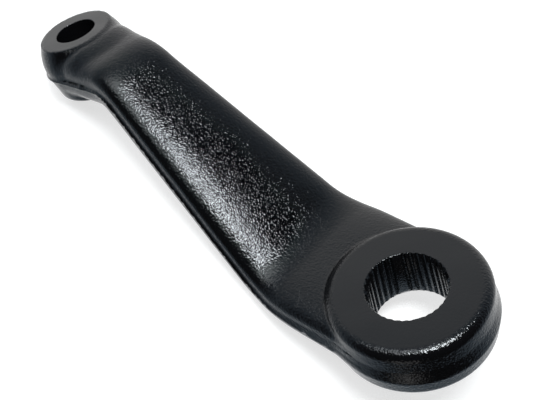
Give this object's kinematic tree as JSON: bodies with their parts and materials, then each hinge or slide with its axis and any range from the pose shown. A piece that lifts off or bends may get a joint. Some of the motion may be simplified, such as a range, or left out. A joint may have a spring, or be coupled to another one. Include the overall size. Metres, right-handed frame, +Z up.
{
  "type": "pitman arm",
  "caption": "Forged, cranked steering arm, painted black: a splined hub at its low end, a tapering crowned shank, and an eye with a tapered hole at its raised end.",
  "frame": {"origin": "on the splined bore's axis, in the hub's flat face on the steering box side", "axes": "+Z up the bore's axis towards the nut side, +X from the hub to the eye, +Y across the arm"},
  "size_m": [0.2335, 0.0662, 0.098],
  "materials": {
    "black_paint": "semi-gloss black paint with a fine orange-peel, over a die-forged skin"
  },
  "bodies": {
    "root": {"pitman_arm": "black_paint"}
  },
  "joints": []
}
